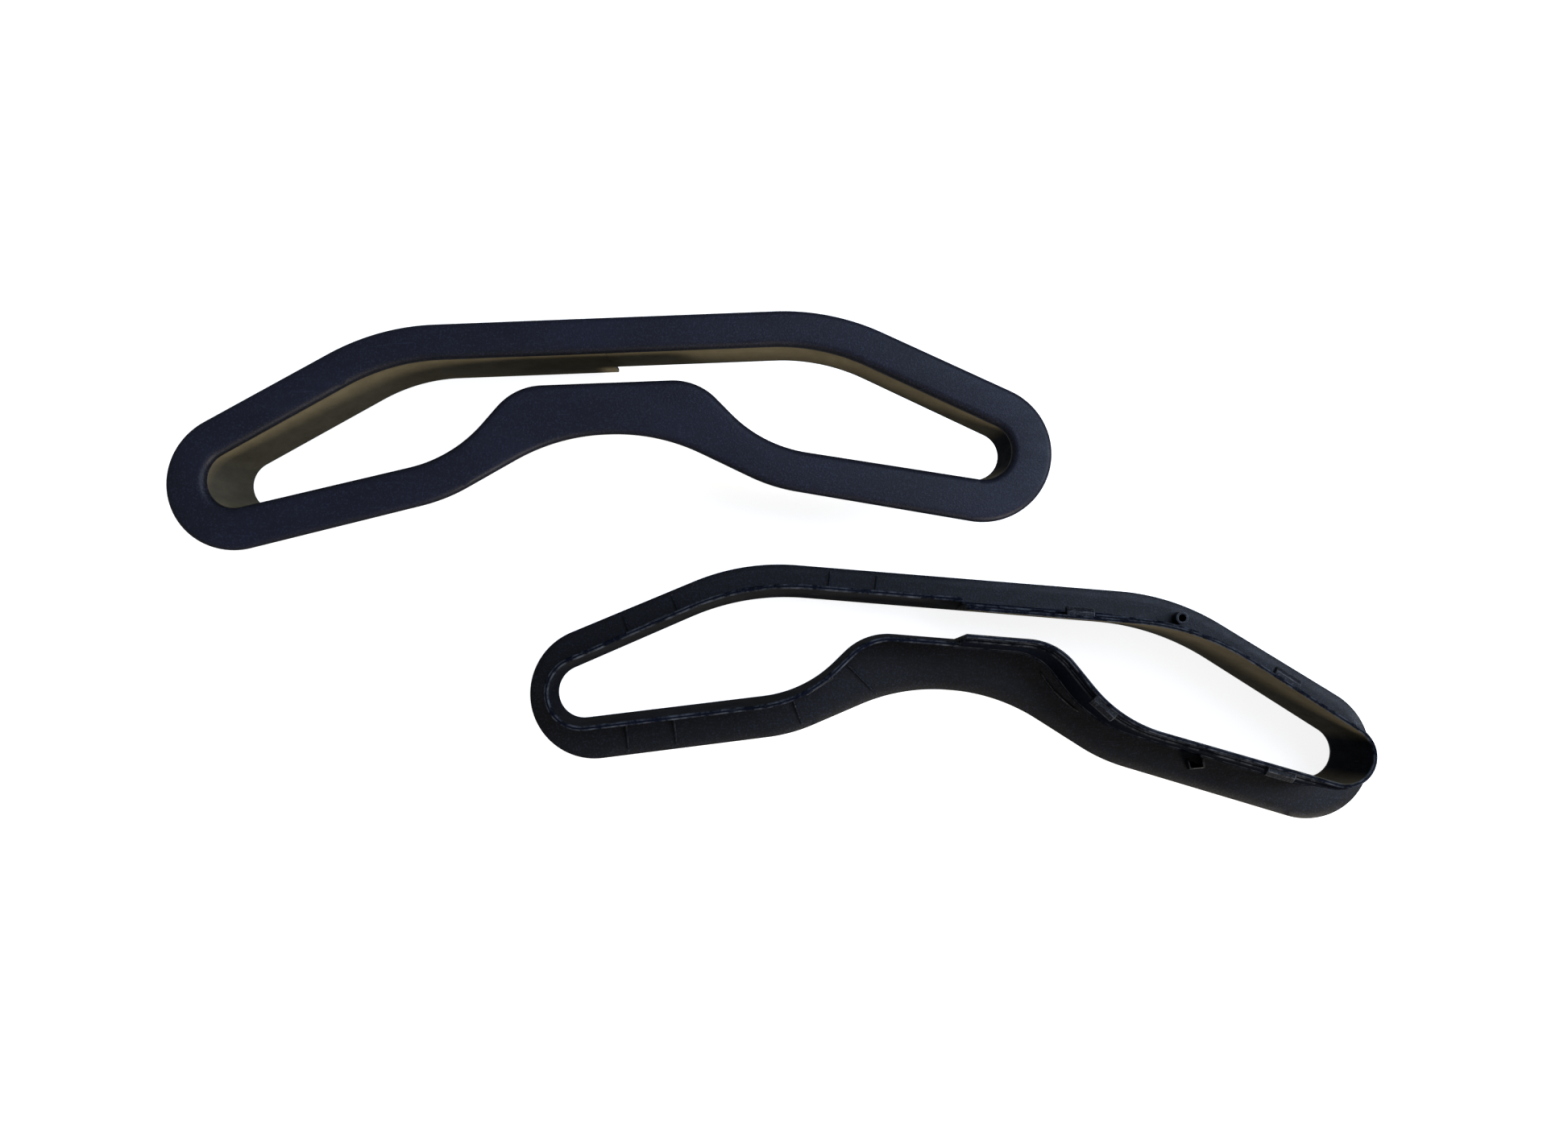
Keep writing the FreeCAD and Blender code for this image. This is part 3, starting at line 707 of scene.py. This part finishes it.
def moulded_plastic(name, dark, light, light_and_shade_tone, wear_and_highlight, gloss, grain, streaks):
    """Plastic straight from the mould. dark and light are the tones of its slow mottling. The
    third
    tone is painted light and shade: a pale warm painted light on a wall's inner side, and painted
    shade on the flange's rounds. The fourth tone is for the lighter edges, partly rubbed wear and
    partly a painted highlight, and also for pale specks and scratches. gloss is the (roughness,
    specular level), grain is the (size in metres, height in metres, share of pale specks) of its
    texture, and streaks is the height of the draw lines in metres."""
    material = bpy.data.materials.new(name)
    material.use_nodes = True
    tree = material.node_tree
    shader = tree.nodes["Principled BSDF"]
    where = add_node(tree, "ShaderNodeTexCoord").outputs["Object"]
    rim = add_node(tree, "ShaderNodeAttribute", attribute_name="rim").outputs["Fac"]
    painted_light_and_shade = add_node(tree, "ShaderNodeAttribute", attribute_name="painted_light_and_shade").outputs["Fac"]

    mottle = noise(tree, where, 28.0, 3.0)
    speck = noise(tree, where, 1.0 / grain[0], 2.0, roughness=0.6)
    smear = noise(tree, where, 90.0, 4.0, (1.0, 3.5, 1.0), 0.65)
    colour = mixed(tree, between(tree, mottle, 0.36, 0.66), dark, light)
    # Painted light and shade: where the mesh asks for it, the colour turns to the third tone, a
    # pale warm painted light on walls and painted shade on the flange's rounds.
    deeper = tuple(INNER_MOTTLE * channel for channel in light_and_shade_tone)
    light_and_shade_part = mixed(tree, between(tree, smear, 0.35, 0.7), light_and_shade_tone, deeper)
    colour = mixed(tree, painted_light_and_shade, colour, light_and_shade_part)
    pale_specks = between(tree, speck, 0.52, 0.72, 0.0, grain[2])
    colour = mixed(tree, pale_specks, colour, wear_and_highlight)

    # Lighter edges in the fourth tone: partly rubbed wear and partly a painted highlight.
    wear_and_highlight_patches = between(tree, noise(tree, where, 210.0, 4.0, roughness=0.7), 0.42, 0.7)
    edge = math_node(tree, "MULTIPLY", between(tree, rim, 0.5, 1.0, 0.0, WEAR_AND_HIGHLIGHT_SHARE),
                     wear_and_highlight_patches)
    scratch_noise = noise(tree, where, 120.0, 3.0, (0.35, 9.0, 2.0), 0.7)
    scratches = between(tree, scratch_noise, 0.66, 0.72, 0.0, SCRATCH_SHARE)
    colour = mixed(tree, math_node(tree, "MAXIMUM", edge, scratches), colour, wear_and_highlight)
    tree.links.new(colour, shader.inputs["Base Color"])

    rough = between(tree, smear, 0.3, 0.7, gloss[0] - SMOOTHER, gloss[0] + ROUGHER)
    polish = math_node(tree, "MULTIPLY", edge, RUBBED_SMOOTH)
    rough = math_node(tree, "SUBTRACT", rough, polish)
    tree.links.new(rough, shader.inputs["Roughness"])
    shader.inputs["Specular IOR Level"].default_value = gloss[1]

    texture = add_node(tree, "ShaderNodeBump", {"Height": speck, "Distance": grain[1],
                                                "Strength": 0.8})
    draw = noise(tree, where, 260.0, 3.0, (1.0, 1.0, 0.06))
    lines = add_node(tree, "ShaderNodeBump", {"Height": draw, "Distance": streaks,
                                              "Strength": 0.7, "Normal": texture.outputs[0]})
    nicks = add_node(tree, "ShaderNodeBump", {"Height": scratches, "Distance": SCRATCH_DEPTH,
                                              "Strength": 0.6, "Normal": lines.outputs[0]},
                     invert=True)
    tree.links.new(nicks.outputs[0], shader.inputs["Normal"])
    print("material", name, "nodes", len(tree.nodes))
    return material


# %% [markdown]
# ## Four finishes
#
# The same function makes all four. The face is navy with a deep fine grain, with painted shade
# on its rounds. The walls are nearly black outside and duller, and painted light makes them pale
# olive inside. The small mouldings and the ribs are lighter copies of the wall plastic, a
# painted highlight for the light that they catch, so that they can be made out against the walls.

# %% The finishes of the face, walls, small mouldings and ribs
face_plastic = moulded_plastic(
    "grained_navy_plastic", dark=tone(18, 20, 32), light=tone(23, 25, 41), light_and_shade_tone=tone(11, 12, 17),
    wear_and_highlight=tone(52, 58, 82), gloss=(0.47, 0.26), grain=(0.0006, 0.00011, 0.4), streaks=0.00001)
wall_plastic = moulded_plastic(
    "satin_wall_plastic", dark=tone(9, 12, 20), light=tone(12, 16, 29), light_and_shade_tone=tone(112, 103, 82),
    wear_and_highlight=tone(84, 88, 96), gloss=(0.6, 0.025), grain=(0.0009, 0.00003, 0.1), streaks=0.00004)
# The ribs and the small mouldings are lighter copies of the wall plastic: a painted highlight.
lit_rib_plastic = moulded_plastic(
    "lit_rib_plastic", dark=tone(34, 37, 46), light=tone(42, 45, 56), light_and_shade_tone=tone(34, 37, 46),
    wear_and_highlight=tone(110, 113, 118), gloss=(0.45, 0.2), grain=(0.0006, 0.00003, 0.4), streaks=0.00002)
lit_detail_plastic = moulded_plastic(
    "lit_clip_plastic", dark=tone(14, 15, 21), light=tone(20, 22, 29), light_and_shade_tone=tone(20, 22, 29),
    wear_and_highlight=tone(92, 95, 100), gloss=(0.4, 0.2), grain=(0.0006, 0.00003, 0.4), streaks=0.00004)

# %% [markdown]
# ## What each piece stands for
#
# Each piece hides the CAD solids that it replaces and moves with its bezel. The lip is one
# moulding with the deep wall, so that piece stands for two solids.

# %% Hide the solids that each piece stands for, and give it its body and its finish
STANDS_FOR = {
    "trim_ring": (["trim_flange"], "face", face_plastic),
    "deep_wall": (["deep_sleeve", "tip_lip"], "sleeve", wall_plastic),
    "shallow_wall": (["shallow_sleeve"], "sleeve", wall_plastic),
    "clip_blocks": (["snap_blocks"], "detail", lit_detail_plastic),
    "clip_bridges": (["catch_bars"], "detail", lit_detail_plastic),
    "ribs": (["gussets"], "detail", lit_rib_plastic),
    "boss_tube": (["locating_boss"], "detail", lit_detail_plastic),
    "clip_pocket": (["latch_pocket"], "detail", lit_detail_plastic),
    "thumb_ridge": (["grip_ridge"], "detail", lit_detail_plastic),
}
for side in BEZELS:
    for part, (nodes, slot_name, material) in STANDS_FOR.items():
        piece = pieces[side + "_" + part]
        piece.data.materials.append(material)
        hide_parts(*[side + "_" + node for node in nodes])
        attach(piece, side + "_bezel")
print("pieces", len(pieces), "CAD nodes replaced", len(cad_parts))

# %% [markdown]
# ## Floor, light and camera
#
# The pieces lie on a pale sheet that glows, as a light table does, which keeps the shadows
# pale. A glowing sheet would also light every dark wall from below. So the sheet is left out
# of what the pieces reflect, by two settings of its object, and it lies just under the
# lowest face, because two surfaces at one height flicker.

# %% Floor
floor_mesh = bpy.data.meshes.new("studio_floor")
FLOOR_REACH, FLOOR_DROP = 3.0, 0.0002
floor_corners = [(x * FLOOR_REACH, y * FLOOR_REACH, -FLOOR_DROP)
                 for x, y in ((-1, -1), (1, -1), (1, 1), (-1, 1))]
floor_mesh.from_pydata(floor_corners, [], [(0, 1, 2, 3)])
floor = bpy.data.objects.new("studio_floor", floor_mesh)
bpy.context.scene.collection.objects.link(floor)
paper = bpy.data.materials.new("light_table")
paper.use_nodes = True
sheet = paper.node_tree.nodes["Principled BSDF"]
sheet.inputs["Base Color"].default_value = (0.92, 0.92, 0.92, 1)
sheet.inputs["Roughness"].default_value = 0.9
sheet.inputs["Specular IOR Level"].default_value = 0.0
sheet.inputs["Emission Color"].default_value = (1, 1, 1, 1)
sheet.inputs["Emission Strength"].default_value = 0.85
floor.visible_diffuse = floor.visible_glossy = False
floor_mesh.materials.append(paper)

# %% [markdown]
# ## Light
#
# Dark plastic is mostly seen by what it reflects, so the lights are large and soft. A cool one
# and a small one stand to the right, where they draw the rounded edges, and a low warm
# one reaches the inner sides of the walls. The world adds a little from everywhere.

# %% World and soft lights
world = bpy.data.worlds.new("studio")
world.use_nodes = True
world.node_tree.nodes["Background"].inputs["Color"].default_value = (0.93, 0.96, 1.0, 1)
world.node_tree.nodes["Background"].inputs["Strength"].default_value = 0.2
bpy.context.scene.world = world


def soft_light(name, at, aim, size, power, colour):
    """A square area light at a point, turned to face another point."""
    lamp = bpy.data.lights.new(name, "AREA")
    lamp.shape, lamp.size, lamp.energy, lamp.color = "SQUARE", size, power, colour
    light = bpy.data.objects.new(name, lamp)
    light.location = at
    light.rotation_euler = (Vector(aim) - Vector(at)).to_track_quat("-Z", "Y").to_euler()
    bpy.context.scene.collection.objects.link(light)


soft_light("sky_softbox", (0.6, 0.42, 1.05), (0.05, 0.05, 0), 0.8, 8.5, (0.6, 0.74, 1.0))
soft_light("window_right", (1.3, 0.1, 0.75), (0.1, 0.03, 0), 0.4, 9.0, (0.75, 0.86, 1.0))
soft_light("warm_low_front", (0.75, -1.2, 0.55), (0, 0, 0.02), 0.5, 16.0, (1.0, 0.92, 0.78))

# %% [markdown]
# ## Camera
#
# The camera looks almost straight down from under half a metre, which is close enough for
# the tall walls to lean apart. A Track To constraint could aim it, but three vectors worked
# out here fix the roll as well: the picture's upper edge is towards +Y.

# %% Camera
camera_data = bpy.data.cameras.new("camera")
camera_data.sensor_width, camera_data.lens = 36.0, 27.75
camera_data.clip_start, camera_data.clip_end = 0.01, 20.0
camera = bpy.data.objects.new("camera", camera_data)
spot, target = Vector((0.0055, -0.0351, 0.4673)), Vector((0.0006, 0.0040, 0.0))
forward = (target - spot).normalized()
right = forward.cross(Vector((0, 1, 0))).normalized()
up = right.cross(forward)
turned = Matrix((right, up, -forward)).transposed().to_4x4()
camera.matrix_world = Matrix.Translation(spot) @ turned
bpy.context.scene.collection.objects.link(camera)
bpy.context.scene.camera = camera
bpy.context.scene.view_settings.view_transform = "Standard"
print("camera", np.round(camera.location, 4).tolist())
